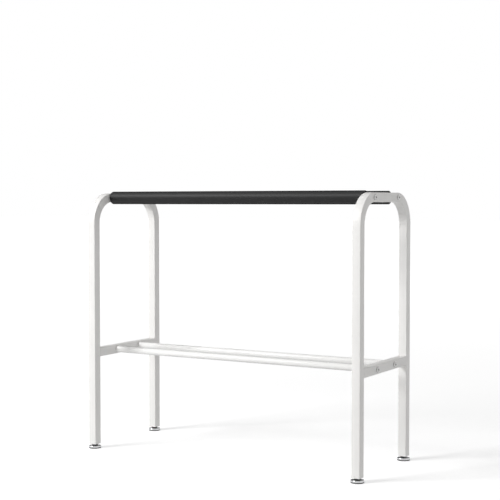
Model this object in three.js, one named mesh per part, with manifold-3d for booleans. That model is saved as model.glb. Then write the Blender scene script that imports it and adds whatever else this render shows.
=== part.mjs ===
// Display stand: two bent tube hoops, joined by two padded bars at the top and by
// two round rails lower down, standing on four levelling feet.
// Millimetres, +Z up. The origin is on the floor under the middle of the stand.
// +X runs along the bars to the right hoop, and the front is towards -Y.

import * as THREE from "three";
import { mergeVertices } from "three/addons/utils/BufferGeometryUtils.js";
import Module from "manifold-3d";

const wasm = await Module();
wasm.setup();

// Whole stand
const standWidth = 682; // over the outer faces of the two hoops
const standDepth = 258; // over the two legs of one hoop
const frameTop = 584; // top face of the hoops above the floor

// Tube of the hoops and cross rails
const tubeAcross = 19; // its section along X
const tubeInPlane = 20; // its section in the plane of the hoop
const tubeWall = 1.2;
const tubeCorner = 1.5; // outer corner radius of the section
const bendRadius = 58; // to the middle of the tube

// Cross rail between the legs of a hoop
const crossRailHeight = 220; // its axis above the floor

// Padded bars at the top
const barDiameter = 19;
const barWall = 1.2;
const barFromBend = 1; // from a bar's axis to the start of the hoop's bend
const sleeveDiameter = 29;
const sleeveEdge = 1.5; // rounding of the sleeve's ends
const sleeveFit = 0.3; // gap between the sleeve's bore and the bar
const sleeveEndGap = 1.5; // gap between the sleeve's end and the hoop

// Lower rails
const railDiameter = 15;
const railWall = 1.2;
const railFromLeg = 65; // from a rail's axis to the inner face of the nearest leg

// End plugs of the bars and rails
const plugLength = 22;
const plugChamfer = 0.5;
const plugFit = 0.3; // gap between a plug and the bore round it

// Bolts through the hoops and cross rails
const boltDiameter = 6;
const boltFit = 0.3; // gap round the shank, in the tubes and in the plugs
const boltGrip = 14; // length of shank inside the plug
const boltTip = 0.8; // chamfer of the shank's tip
const boltHeadDiameter = 12;
const boltHeadEdge = 0.8; // straight rim of the head
const boltHeadCrown = 2.4; // height of the crown above the rim
const boltHeadFlatShare = 0.35; // flat top, as a share of the head's radius
const socketAcross = 4; // hexagon socket, across its flats
const socketDepth = 2;

// Insert in the end of each leg
const insertLength = 24; // part inside the tube
const insertFlange = 1.5; // part that covers the end of the tube
const insertFit = 0.3; // gap between the insert and the inside of the tube
const bushDiameter = 12; // steel bush that holds the thread
const bushLength = 10;
const bushFit = 0.3;

// Stem of a levelling foot
const stemDiameter = 8;
const stemFit = 0.3; // gap round the stem
const stemThread = 34; // length above the hexagon
const stemTip = 1; // chamfer of the stem's top
const hexAcross = 12; // hexagon for a spanner, across its flats
const hexHeight = 2.5;
const rivetDiameter = 11; // head that keeps the stem in its cap
const rivetThickness = 1.2;
const runFit = 0.3; // gap above and below what turns

// Cap and pad of a levelling foot
const capDiameter = 29;
const capWall = 1.5;
const capTopEdgeShare = 0.48; // rounding of the upper edge, as a share of the cap's height
const capLowEdgeShare = 0.2; // the same for the lower edge
const capRiseShare = 0.1; // rise of the crown
const padFlange = 2; // thickness of the pad below the cap
const padBoss = 1.2; // height of the pad inside the cap
const padInset = 0.5; // from the cap's rim to the pad's rim
const padFit = 0.3; // gap between the pad's boss and the cap
const padEdgeShare = 0.2; // chamfer of the pad, as a share of its flange

// Cutting and fineness
const overrun = 5; // how far a cutting shape passes what it cuts
const mergeDistance = 0.0001;
const bendFaces = 14; // faces round a quarter bend
const cornerFaces = 2; // faces round a corner of the tube's section
const tubeSides = 28;
const boltSides = 16; // also of what the bolts and stems pass through
const footSides = 24;
const edgeFaces = 3; // faces round a turned edge

// Places worked out from the sizes
const hoopX = (standWidth - tubeAcross) / 2;
const innerX = standWidth / 2 - tubeAcross;
const legY = (standDepth - tubeInPlane) / 2;
const topZ = frameTop - tubeInPlane / 2;
const bendZ = topZ - bendRadius;
const bendY = legY - bendRadius;
const barY = bendY - barFromBend;
const railY = legY - tubeInPlane / 2 - railFromLeg;
const spanLength = 2 * innerX;
const capHeight = padBoss + runFit + rivetThickness + runFit + capWall;
const capTopZ = padFlange + capHeight;
const hexZ = capTopZ + runFit;
const insertZ = hexZ + hexHeight + runFit;
const tubeEndZ = insertZ + insertFlange;
const boltLength = tubeAcross + boltGrip;

// Finishes
const finish = {
  powderCoat: { color: 0xeeeeec, roughness: 0.42, metalness: 0.0 },
  glossEnamel: { color: 0xf4f4f2, roughness: 0.2, metalness: 0.0 },
  foamRubber: { color: 0x2f3032, roughness: 0.85, metalness: 0.0 },
  bareSteel: { color: 0x9a9c9f, roughness: 0.4, metalness: 1.0 },
  blackSteel: { color: 0x4b4c4e, roughness: 0.45, metalness: 1.0 },
  boltSteel: { color: 0xd8d8d6, roughness: 0.35, metalness: 0.3 },
  whitePlastic: { color: 0xf0f0ee, roughness: 0.5, metalness: 0.0 },
  chrome: { color: 0xe2e4e6, roughness: 0.08, metalness: 1.0 },
  darkPlastic: { color: 0x202122, roughness: 0.6, metalness: 0.0 },
};

// Merged points and triangles of a geometry, with its faces pointing out
function closedMesh(geometry) {
  const bare = geometry.clone();
  bare.deleteAttribute("normal");
  bare.deleteAttribute("uv");
  const merged = mergeVertices(bare, mergeDistance);
  const points = merged.attributes.position.array;
  const corners = merged.index.array;
  const triangles = [];
  for (let i = 0; i < corners.length; i += 3) {
    const [a, b, c] = corners.slice(i, i + 3);
    if (a !== b && b !== c && c !== a) triangles.push(a, b, c);
  }
  if (signedVolume(points, triangles) < 0) triangles.reverse();
  return { points: new Float32Array(points), triangles: new Uint32Array(triangles) };
}

// Volume enclosed by triangles, negative when they face inwards
function signedVolume(points, triangles) {
  const [a, b, c] = [new THREE.Vector3(), new THREE.Vector3(), new THREE.Vector3()];
  let total = 0;
  for (let i = 0; i < triangles.length; i += 3) {
    a.fromArray(points, 3 * triangles[i]);
    b.fromArray(points, 3 * triangles[i + 1]);
    c.fromArray(points, 3 * triangles[i + 2]);
    total += a.dot(b.cross(c)) / 6;
  }
  return total;
}

// Solid that can be joined and cut
function solid(geometry) {
  const { points, triangles } = closedMesh(geometry);
  const mesh = new wasm.Mesh({ numProp: 3, vertProperties: points, triVerts: triangles });
  return new wasm.Manifold(mesh);
}

// Geometry of a solid, or of a closed geometry
function shapeOf(source) {
  let points, triangles;
  if (source instanceof THREE.BufferGeometry) {
    ({ points, triangles } = closedMesh(source));
  } else {
    const mesh = source.getMesh();
    points = mesh.vertProperties;
    triangles = mesh.triVerts;
  }
  const indexed = new THREE.BufferGeometry();
  indexed.setAttribute("position", new THREE.BufferAttribute(points, 3));
  indexed.setIndex(new THREE.BufferAttribute(triangles, 1));
  const flat = indexed.toNonIndexed();
  flat.computeVertexNormals();
  return flat;
}

// Named mesh with a material of its own
function piece(name, source, look) {
  const mesh = new THREE.Mesh(shapeOf(source), new THREE.MeshStandardMaterial(look));
  mesh.name = name;
  return mesh;
}

// Body of revolution about Z from a profile of [radius, height] points
function turned(profile, sides) {
  const points = profile.map(([radius, height]) => new THREE.Vector2(radius, height));
  return new THREE.LatheGeometry(points, sides).rotateX(Math.PI / 2);
}

// Round or six-sided bar along Z, standing on z = bottom
function upright(radius, bottom, height, sides) {
  const bar = new THREE.CylinderGeometry(radius, radius, height, sides);
  return bar.rotateX(Math.PI / 2).translate(0, 0, bottom + height / 2);
}

// Round hole along X through what lies between two places
function crossHole(radius, fromX, toX, y, z) {
  const length = toX - fromX + 2 * overrun;
  const pin = new THREE.CylinderGeometry(radius, radius, length, boltSides);
  return solid(pin.rotateZ(Math.PI / 2).translate((fromX + toX) / 2, y, z));
}

// Points of a quarter round from one angle to another, about a centre
function roundedEdge(centreRadius, centreHeight, radius, fromAngle, toAngle) {
  const points = [];
  for (let i = 0; i <= edgeFaces; i += 1) {
    const angle = fromAngle + ((toAngle - fromAngle) * i) / edgeFaces;
    points.push([centreRadius + radius * Math.cos(angle), centreHeight + radius * Math.sin(angle)]);
  }
  return points;
}

// Rectangle with rounded corners, centred on the origin
function roundedRectangle(width, height, corner) {
  const [x, y] = [width / 2, height / 2];
  const shape = new THREE.Shape();
  shape.moveTo(corner - x, -y);
  shape.lineTo(x - corner, -y);
  shape.absarc(x - corner, corner - y, corner, -Math.PI / 2, 0);
  shape.lineTo(x, y - corner);
  shape.absarc(x - corner, y - corner, corner, 0, Math.PI / 2);
  shape.lineTo(corner - x, y);
  shape.absarc(corner - x, y - corner, corner, Math.PI / 2, Math.PI);
  shape.lineTo(-x, corner - y);
  shape.absarc(corner - x, corner - y, corner, Math.PI, 1.5 * Math.PI);
  return shape;
}

// Outline of the hoop in its plane, with its sides drawn in by an inset
function hoopOutline(inset, legBottom) {
  const outer = bendRadius + tubeInPlane / 2 - inset;
  const inner = bendRadius - tubeInPlane / 2 + inset;
  const shape = new THREE.Shape();
  shape.moveTo(bendY + outer, legBottom);
  shape.lineTo(bendY + outer, bendZ);
  shape.absarc(bendY, bendZ, outer, 0, Math.PI / 2);
  shape.lineTo(-bendY, bendZ + outer);
  shape.absarc(-bendY, bendZ, outer, Math.PI / 2, Math.PI);
  shape.lineTo(-bendY - outer, legBottom);
  shape.lineTo(-bendY - inner, legBottom);
  shape.lineTo(-bendY - inner, bendZ);
  shape.absarc(-bendY, bendZ, inner, Math.PI, Math.PI / 2, true);
  shape.lineTo(bendY, bendZ + inner);
  shape.absarc(bendY, bendZ, inner, Math.PI / 2, 0, true);
  shape.lineTo(bendY + inner, legBottom);
  return shape;
}

// Straight bar of a given section along Z, standing on z = 0
function extruded(section, length) {
  return new THREE.ExtrudeGeometry(section, {
    depth: length,
    curveSegments: cornerFaces / 2,
    bevelEnabled: false,
  });
}

// Bent bar with rounded long edges, lying in the plane x = 0
function bentBar(skin, corner, legBottom) {
  const across = tubeAcross - 2 * skin;
  const bar = new THREE.ExtrudeGeometry(hoopOutline(skin + corner, legBottom), {
    depth: across - 2 * corner,
    curveSegments: bendFaces / 2,
    bevelEnabled: corner > 0,
    bevelThickness: corner,
    bevelSize: corner,
    bevelSegments: cornerFaces,
  });
  // The outline's x and y become the stand's Y and Z
  bar.translate(0, 0, corner - across / 2);
  bar.applyMatrix4(new THREE.Matrix4().set(0, 0, 1, 0, 1, 0, 0, 0, 0, 1, 0, 0, 0, 0, 0, 1));
  return solid(bar);
}

// Hoop: hollow, open at the ends of its legs, drilled for the two top bolts
function hoop() {
  const drawnEnd = tubeEndZ - 2 * overrun;
  let tube = bentBar(0, tubeCorner, drawnEnd);
  tube = tube.subtract(bentBar(tubeWall, 0, drawnEnd - overrun));
  const waste = new THREE.BoxGeometry(tubeAcross + 2 * overrun, standDepth + 2 * overrun, 4 * overrun);
  tube = tube.subtract(solid(waste.translate(0, 0, tubeEndZ - 2 * overrun)));
  for (const y of [-barY, barY]) {
    const radius = boltDiameter / 2 + boltFit;
    tube = tube.subtract(crossHole(radius, -tubeAcross / 2, tubeAcross / 2, y, topZ));
  }
  return tube;
}

// Cross rail: a straight piece of the hoop's tube along Y, drilled for the lower bolts
function crossRail() {
  const length = 2 * legY - tubeInPlane;
  const bar = extruded(roundedRectangle(tubeAcross, tubeInPlane, tubeCorner), length);
  const [boreX, boreY] = [tubeAcross - 2 * tubeWall, tubeInPlane - 2 * tubeWall];
  const bore = new THREE.BoxGeometry(boreX, boreY, length + 2 * overrun);
  let rail = solid(bar.translate(0, 0, -length / 2).rotateX(Math.PI / 2));
  rail = rail.subtract(solid(bore.rotateX(Math.PI / 2)));
  for (const y of [-railY, railY]) {
    const radius = boltDiameter / 2 + boltFit;
    rail = rail.subtract(crossHole(radius, -tubeAcross / 2, tubeAcross / 2, y, 0));
  }
  return rail;
}

// Ring profile of a plain tube that is centred on z = 0
function tubeProfile(outer, inner, length) {
  const [low, high] = [-length / 2, length / 2];
  return [[inner, low], [outer, low], [outer, high], [inner, high], [inner, low]];
}

// Foam sleeve with rounded ends
function sleeve() {
  const outer = sleeveDiameter / 2;
  const inner = barDiameter / 2 + sleeveFit;
  const end = spanLength / 2 - sleeveEndGap;
  const edgeRadius = outer - sleeveEdge;
  const edgeHeight = end - sleeveEdge;
  const profile = [
    [inner, -end],
    ...roundedEdge(edgeRadius, -edgeHeight, sleeveEdge, -Math.PI / 2, 0),
    ...roundedEdge(edgeRadius, edgeHeight, sleeveEdge, 0, Math.PI / 2),
    [inner, end],
    [inner, -end],
  ];
  return turned(profile, tubeSides);
}

// Threaded plug for a tube's bore, with its outer end at z = 0
function endPlug(tubeBore) {
  const outer = tubeBore / 2 - plugFit;
  const inner = boltDiameter / 2 + boltFit;
  const profile = [
    [inner, -plugLength],
    [outer - plugChamfer, -plugLength],
    [outer, plugChamfer - plugLength],
    [outer, 0],
    [inner, 0],
    [inner, -plugLength],
  ];
  return turned(profile, boltSides);
}

// Bolt along Z: the shank hangs below z = 0 and the head stands on it
function bolt() {
  const shank = boltDiameter / 2;
  const head = boltHeadDiameter / 2;
  const flat = head * boltHeadFlatShare;
  const profile = [[0, -boltLength], [shank - boltTip, -boltLength], [shank, boltTip - boltLength]];
  profile.push([shank, 0], [head, 0]);
  for (let i = 0; i <= edgeFaces; i += 1) {
    const angle = (Math.PI / 2) * (i / edgeFaces);
    const radius = flat + (head - flat) * Math.cos(angle);
    profile.push([radius, boltHeadEdge + boltHeadCrown * Math.sin(angle)]);
  }
  profile.push([0, boltHeadEdge + boltHeadCrown]);
  const headTop = boltHeadEdge + boltHeadCrown;
  const socketRadius = socketAcross / Math.sqrt(3);
  const socket = upright(socketRadius, headTop - socketDepth, socketDepth + overrun, 6);
  return solid(turned(profile, boltSides)).subtract(solid(socket));
}

// Plastic insert in a leg's end, with a pocket for its bush and a way for the stem
function legInsert() {
  const flange = extruded(roundedRectangle(tubeAcross, tubeInPlane, tubeCorner), insertFlange);
  const top = insertFlange + insertLength;
  const skin = 2 * (tubeWall + insertFit);
  const body = new THREE.BoxGeometry(tubeAcross - skin, tubeInPlane - skin, top);
  const bore = upright(stemDiameter / 2 + stemFit, -overrun, top + 2 * overrun, boltSides);
  const pocketRadius = bushDiameter / 2 + bushFit;
  const pocket = upright(pocketRadius, top - bushLength, bushLength + overrun, boltSides);
  const block = solid(flange).add(solid(body.translate(0, 0, top / 2)));
  return block.subtract(solid(bore)).subtract(solid(pocket));
}

// Steel bush that sits in the insert's pocket
function bush() {
  const outer = bushDiameter / 2;
  const inner = stemDiameter / 2 + stemFit;
  const profile = [[inner, 0], [outer, 0], [outer, bushLength], [inner, bushLength], [inner, 0]];
  return turned(profile, boltSides);
}

// Stem: riveted foot, neck through the cap, spanner hexagon and threaded length
function stem() {
  const shaft = stemDiameter / 2;
  const rivetTop = capTopZ - capWall - runFit;
  const top = hexZ + hexHeight + stemThread;
  const profile = [
    [0, rivetTop - rivetThickness],
    [rivetDiameter / 2, rivetTop - rivetThickness],
    [rivetDiameter / 2, rivetTop],
    [shaft, rivetTop],
    [shaft, top - stemTip],
    [shaft - stemTip, top],
    [0, top],
  ];
  const hexagon = upright(hexAcross / Math.sqrt(3), hexZ, hexHeight, 6);
  return solid(turned(profile, boltSides)).add(solid(hexagon));
}

// Chromed cap: a pressed shell with a rounded rim, a low crown and a hole for the stem
function cap() {
  const rim = capDiameter / 2;
  const hole = stemDiameter / 2 + stemFit;
  const topEdge = capHeight * capTopEdgeShare;
  const lowEdge = capHeight * capLowEdgeShare;
  const shoulder = capTopZ - capHeight * capRiseShare;
  const inside = rim - lowEdge - capWall;
  const ceiling = capTopZ - capWall;
  const profile = [
    [inside, padFlange],
    ...roundedEdge(rim - lowEdge, padFlange + lowEdge, lowEdge, -Math.PI / 2, 0),
    ...roundedEdge(rim - topEdge, shoulder - topEdge, topEdge, 0, Math.PI / 2),
    [hole, capTopZ],
    [hole, ceiling],
    [rivetDiameter / 2 + runFit, ceiling],
    [inside, shoulder - capWall],
    [inside, padFlange],
  ];
  return turned(profile, footSides);
}

// Pad under the cap: a flange that meets the floor and a boss inside the cap
function pad() {
  const rim = capDiameter / 2 - padInset;
  const boss = capDiameter / 2 - capHeight * capLowEdgeShare - capWall - padFit;
  const edge = padFlange * padEdgeShare;
  const profile = [
    [0, 0],
    [rim - edge, 0],
    [rim, edge],
    [rim, padFlange],
    [boss, padFlange],
    [boss, padFlange + padBoss],
    [0, padFlange + padBoss],
  ];
  return turned(profile, footSides);
}

// Turns a piece made along Z so that its top points along X
function alongX(mesh, direction) {
  mesh.rotation.y = (direction * Math.PI) / 2;
  return mesh;
}

const ends = [
  { name: "left", side: -1 },
  { name: "right", side: 1 },
];
const rows = [
  { name: "front", side: -1 },
  { name: "rear", side: 1 },
];

// One end frame: its hoop and its cross rail
function endFrame(end) {
  const group = new THREE.Group();
  group.position.x = end.side * hoopX;
  group.add(piece(`${end.name}_hoop`, hoop(), finish.powderCoat));
  const rail = piece(`${end.name}_cross_rail`, crossRail(), finish.powderCoat);
  rail.position.z = crossRailHeight;
  group.add(rail);
  return group;
}

// Plugs and bolts at both ends of one bar or rail that lies along X
function endFixings(rowName, kind, tubeBore) {
  const group = new THREE.Group();
  for (const end of ends) {
    const plug = piece(`${rowName}_${kind}_plug_${end.name}`, endPlug(tubeBore), finish.bareSteel);
    plug.position.x = end.side * innerX;
    const screw = piece(`${rowName}_${kind}_bolt_${end.name}`, bolt(), finish.boltSteel);
    screw.position.x = (end.side * standWidth) / 2;
    group.add(alongX(plug, end.side), alongX(screw, end.side));
  }
  return group;
}

// One padded bar: steel tube, foam sleeve, plugs and bolts
function paddedBar(row) {
  const group = new THREE.Group();
  group.position.set(0, row.side * barY, topZ);
  const bore = barDiameter - 2 * barWall;
  const core = turned(tubeProfile(barDiameter / 2, bore / 2, spanLength), tubeSides);
  group.add(alongX(piece(`${row.name}_bar_tube`, core, finish.bareSteel), 1));
  group.add(alongX(piece(`${row.name}_bar_sleeve`, sleeve(), finish.foamRubber), 1));
  group.add(endFixings(row.name, "bar", bore));
  return group;
}

// One lower rail: round tube, plugs and bolts
function lowerRail(row) {
  const group = new THREE.Group();
  group.position.set(0, row.side * railY, crossRailHeight);
  const bore = railDiameter - 2 * railWall;
  const tube = turned(tubeProfile(railDiameter / 2, bore / 2, spanLength), tubeSides);
  group.add(alongX(piece(`${row.name}_rail`, tube, finish.glossEnamel), 1));
  group.add(endFixings(row.name, "rail", bore));
  return group;
}

// One levelling foot with the insert that holds it in its leg
function foot(row, end) {
  const group = new THREE.Group();
  const corner = `${row.name}_${end.name}`;
  group.position.set(end.side * hoopX, row.side * legY, 0);
  const insert = piece(`leg_insert_${corner}`, legInsert(), finish.whitePlastic);
  insert.position.z = insertZ;
  const thread = piece(`foot_bush_${corner}`, bush(), finish.bareSteel);
  thread.position.z = tubeEndZ + insertLength - bushLength;
  group.add(insert, thread);
  group.add(piece(`foot_stem_${corner}`, stem(), finish.blackSteel));
  group.add(piece(`foot_cap_${corner}`, cap(), finish.chrome));
  group.add(piece(`foot_pad_${corner}`, pad(), finish.darkPlastic));
  return group;
}

const stand = new THREE.Group();
for (const end of ends) stand.add(endFrame(end));
for (const row of rows) {
  stand.add(paddedBar(row));
  stand.add(lowerRail(row));
  for (const end of ends) stand.add(foot(row, end));
}

export default stand;
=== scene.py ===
"""Dresses the display stand: its finishes, its foam, the fine shapes of its parts, and the studio.

Metres, +Z up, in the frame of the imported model. The origin is on the floor under the middle of
the stand, +X runs along the bars to the right hoop, and the front is towards -Y.
"""

import logging
import math
from collections.abc import Callable, Sequence
from dataclasses import dataclass
from enum import Enum
from itertools import product

import bpy
from mathutils import Euler, Matrix, Vector


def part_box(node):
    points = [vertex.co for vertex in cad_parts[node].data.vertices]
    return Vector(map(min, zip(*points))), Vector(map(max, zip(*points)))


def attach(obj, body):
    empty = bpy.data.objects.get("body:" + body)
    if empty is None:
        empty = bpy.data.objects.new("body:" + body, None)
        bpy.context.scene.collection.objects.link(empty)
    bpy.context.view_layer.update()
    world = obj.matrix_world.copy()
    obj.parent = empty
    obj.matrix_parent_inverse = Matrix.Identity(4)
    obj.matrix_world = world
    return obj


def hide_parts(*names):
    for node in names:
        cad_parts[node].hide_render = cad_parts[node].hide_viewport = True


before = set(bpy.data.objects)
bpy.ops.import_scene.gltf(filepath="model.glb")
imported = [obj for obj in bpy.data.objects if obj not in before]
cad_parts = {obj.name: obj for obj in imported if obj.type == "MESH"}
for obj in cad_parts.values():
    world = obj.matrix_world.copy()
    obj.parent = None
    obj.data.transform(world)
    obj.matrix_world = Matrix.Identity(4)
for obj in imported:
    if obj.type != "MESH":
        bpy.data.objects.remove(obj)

MM = 0.001
QUARTER_TURN = math.pi / 2
FULL_TURN = 2 * math.pi
SMOOTH_ANGLE = math.radians(35)
SHARP_ANGLE = math.radians(40)
MERGE_DISTANCE = 0.002 * MM
AIM = Vector((0.0, 0.0, 0.35))
WHITE = (1.0, 1.0, 1.0, 1.0)
# All of a pattern, and the part of it in which most of a noise lies
FULL_RANGE = (0.0, 1.0)
NOISE_RANGE = (0.3, 0.7)

log = logging.getLogger("stand")

Colour = tuple[float, float, float]
Rgba = tuple[float, float, float, float]
Range = tuple[float, float]
Profile = Sequence[tuple[float, float]]


class End(Enum):
    """The two ends of the stand, with their side of the middle."""

    left = -1
    right = 1


class Row(Enum):
    """The front and rear rows, with their side of the middle."""

    front = -1
    rear = 1


class Join(Enum):
    """Ways to combine two solids."""

    add = "UNION"
    cut = "DIFFERENCE"
    meet = "INTERSECT"


class Grain(Enum):
    """Direction of fine marks, as the scale of their pattern along each axis."""

    along_x = (0.02, 1.0, 1.0)
    round_x = (1.0, 0.35, 0.35)
    round_z = (0.05, 0.05, 1.0)


@dataclass(frozen=True)
class Place:
    """Box that a node of the frame fills at rest."""

    low: Vector
    high: Vector

    @classmethod
    def of(cls, node: str) -> "Place":
        """Box of a node by its name."""
        return cls(*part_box(node))

    @property
    def middle(self) -> Vector:
        """Middle of the box."""
        return (self.low + self.high) / 2

    @property
    def size(self) -> Vector:
        """Length of the box along each axis."""
        return self.high - self.low


# Work on one mesh


def take_up(obj: bpy.types.Object) -> None:
    """Make an object the active and only selected one.

    Args:
        obj: The object that the next operators work on.
    """
    bpy.ops.object.select_all(action="DESELECT")
    obj.select_set(True)
    bpy.context.view_layer.objects.active = obj


class Bench:
    """Edit mode on one mesh."""

    def __init__(self, obj: bpy.types.Object) -> None:
        """Keep the object that goes on the bench.

        Args:
            obj: A mesh object.
        """
        self.obj = obj

    def __enter__(self) -> "Bench":
        """Open the mesh in edit mode, with all of it selected.

        Returns:
            The bench.
        """
        take_up(self.obj)
        bpy.ops.object.mode_set(mode="EDIT")
        bpy.ops.mesh.select_mode(type="VERT")
        bpy.ops.mesh.select_all(action="SELECT")
        return self

    def __exit__(self, *problem: object) -> None:
        """Go back to object mode."""
        bpy.ops.object.mode_set(mode="OBJECT")

    def close(self) -> None:
        """Merge doubled vertices and turn every face outwards."""
        bpy.ops.mesh.select_all(action="SELECT")
        bpy.ops.mesh.remove_doubles(threshold=MERGE_DISTANCE)
        bpy.ops.mesh.dissolve_degenerate(threshold=MERGE_DISTANCE)
        bpy.ops.mesh.normals_make_consistent(inside=False)


def primitive(add: Callable[..., set[str]], name: str, **settings: object) -> bpy.types.Object:
    """Add a primitive while nothing else is selected.

    Args:
        add: Blender's operator for it.
        name: Name of the new object.
        **settings: Its size and place.

    Returns:
        The new object.
    """
    bpy.ops.object.select_all(action="DESELECT")
    add(**settings)
    obj = bpy.context.active_object
    obj.name = name
    return obj


def joined(parts: Sequence[bpy.types.Object]) -> bpy.types.Object:
    """Join objects into the first of them.

    Args:
        parts: The objects.

    Returns:
        The first object, with the meshes of all.
    """
    take_up(parts[0])
    for part in parts:
        part.select_set(True)
    bpy.ops.object.join()
    return parts[0]


def drawn_line(name: str, points: Sequence[tuple[float, float, float]]) -> bpy.types.Object:
    """Line of edges, drawn by extruding one vertex from point to point.

    Args:
        name: Name of the new object.
        points: The points, in order.

    Returns:
        The new object, at the origin.
    """
    obj = primitive(bpy.ops.mesh.primitive_plane_add, name, size=MM)
    with Bench(obj):
        bpy.ops.mesh.merge(type="CENTER")
        bpy.ops.transform.translate(value=points[0])
        for start, end in zip(points, points[1:]):
            step = Vector(end) - Vector(start)
            bpy.ops.mesh.extrude_vertices_move(TRANSFORM_OT_translate={"value": step})
    return obj


def turned(name: str, profile: Profile, steps: int) -> bpy.types.Object:
    """Body of revolution about Z.

    Args:
        name: Name of the new object.
        profile: Points of (radius, height), from axis to axis or back to the first point.
        steps: Faces round the full turn.

    Returns:
        The new object, closed and with its faces pointing out.
    """
    obj = drawn_line(name, [(radius, 0.0, height) for radius, height in profile])
    with Bench(obj) as bench:
        bpy.ops.mesh.spin(steps=steps, angle=FULL_TURN, center=(0, 0, 0), axis=(0, 0, 1))
        bench.close()
    return obj


def arc(
    centre: tuple[float, float], radius: float, start: float, end: float, steps: int
) -> list[tuple[float, float]]:
    """Points round part of a circle.

    Args:
        centre: Centre of the circle.
        radius: Its radius.
        start: First angle, in degrees.
        end: Last angle, in degrees.
        steps: Number of chords.

    Returns:
        The points, with both ends.
    """
    points = []
    for i in range(steps + 1):
        angle = math.radians(start + (end - start) * i / steps)
        points.append((centre[0] + radius * math.cos(angle), centre[1] + radius * math.sin(angle)))
    return points


def lay_along_x(obj: bpy.types.Object, middle: Vector) -> None:
    """Turn a body made along Z to lie along X, and move it to its place.

    Args:
        obj: The body, centred on the origin.
        middle: Where its middle goes.
    """
    obj.data.transform(Matrix.Translation(middle) @ Matrix.Rotation(QUARTER_TURN, 4, "Y"))


def apply_modifiers(obj: bpy.types.Object) -> None:
    """Apply each modifier of an object in order.

    Args:
        obj: The object that carries them.
    """
    take_up(obj)
    for modifier in list(obj.modifiers):
        bpy.ops.object.modifier_apply(modifier=modifier.name)


def combine(obj: bpy.types.Object, tool: bpy.types.Object, way: Join) -> None:
    """Join a solid to another or cut it, and remove the tool.

    Args:
        obj: The solid that is kept.
        tool: The solid that joins or cuts it.
        way: How they are combined.
    """
    change = obj.modifiers.new("combine", "BOOLEAN")
    change.operation = way.value
    change.solver = "EXACT"
    change.object = tool
    apply_modifiers(obj)
    bpy.data.objects.remove(tool)
    with Bench(obj) as bench:
        bench.close()


def soften_edges(obj: bpy.types.Object, width: float, segments: int = 2) -> None:
    """Round the sharp edges of a solid with a bevel.

    Args:
        obj: The solid.
        width: Width of the bevel.
        segments: Faces across it.
    """
    bevel = obj.modifiers.new("edges", "BEVEL")
    bevel.limit_method = "ANGLE"
    bevel.angle_limit = SHARP_ANGLE
    bevel.width = width
    bevel.segments = segments
    apply_modifiers(obj)


def smooth(obj: bpy.types.Object) -> None:
    """Shade an object smooth, apart from its sharp edges."""
    take_up(obj)
    bpy.ops.object.shade_smooth_by_angle(angle=SMOOTH_ANGLE)


def copy_of(master: bpy.types.Object, name: str, place: Matrix) -> bpy.types.Object:
    """Copy of a master shape with a mesh of its own, with its place in its mesh.

    Args:
        master: The shape, modelled at the origin.
        name: Name of the copy.
        place: Where the copy goes.

    Returns:
        The copy, whose object sits at the origin.
    """
    obj = master.copy()
    obj.name = name
    obj.data = master.data.copy()
    obj.data.name = name
    obj.data.transform(place)
    bpy.context.scene.collection.objects.link(obj)
    return obj


def hexagon(name: str, across: float, low: float, high: float) -> bpy.types.Object:
    """Six-sided bar along Z.

    Args:
        name: Name of the new object.
        across: Distance across its flats.
        low: Height of its lower face.
        high: Height of its upper face.

    Returns:
        The new object.
    """
    obj = primitive(
        bpy.ops.mesh.primitive_cylinder_add,
        name,
        vertices=6,
        radius=across / math.sqrt(3),
        depth=high - low,
        location=(0, 0, (low + high) / 2),
    )
    bpy.ops.object.transform_apply()
    return obj


@dataclass(frozen=True)
class Thread:
    """Outer metric thread along Z, whose depth, root and crest are shares of its pitch."""

    diameter: float
    pitch: float
    steps: int = 32
    depth_share: float = 0.6134
    root_share: float = 0.25
    crest_share: float = 0.125
    spare_turns: int = 3

    def rod(self, name: str, low: float, high: float) -> bpy.types.Object:
        """Threaded rod that runs a little past both ends, to be cut to length by a blank.

        Args:
            name: Name of the new object.
            low: Height of its lower end.
            high: Height of its upper end.

        Returns:
            The new object, a closed solid.
        """
        crest = self.diameter / 2
        root = crest - self.depth_share * self.pitch
        rise = (1 - self.root_share - self.crest_share) / 2
        turns = math.ceil((high - low) / self.pitch) + self.spare_turns
        # The screw operator's turns run down from the first one
        start = high + self.pitch / 2
        line = [
            (root, 0.0, start),
            (root, 0.0, start + self.root_share * self.pitch),
            (crest, 0.0, start + (self.root_share + rise) * self.pitch),
            (crest, 0.0, start + (self.root_share + rise + self.crest_share) * self.pitch),
            (root, 0.0, start + self.pitch),
        ]
        obj = drawn_line(name, line)
        with Bench(obj) as bench:
            bpy.ops.mesh.screw(steps=self.steps, turns=turns, center=(0, 0, 0), axis=(0, 0, 1))
            bpy.ops.mesh.select_all(action="SELECT")
            bpy.ops.mesh.remove_doubles(threshold=MERGE_DISTANCE)
            bpy.ops.mesh.fill_holes(sides=0)
            bench.close()
        return obj


# Finishes


@dataclass(frozen=True)
class Pattern:
    """A noise: the size of its features, the number of its finer layers and their strength."""

    size: float
    layers: float = 2.0
    fineness: float = 0.5


@dataclass(frozen=True)
class Relief:
    """How far a pattern stands out, in metres, and how much of that shows."""

    depth: float
    share: float


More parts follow.
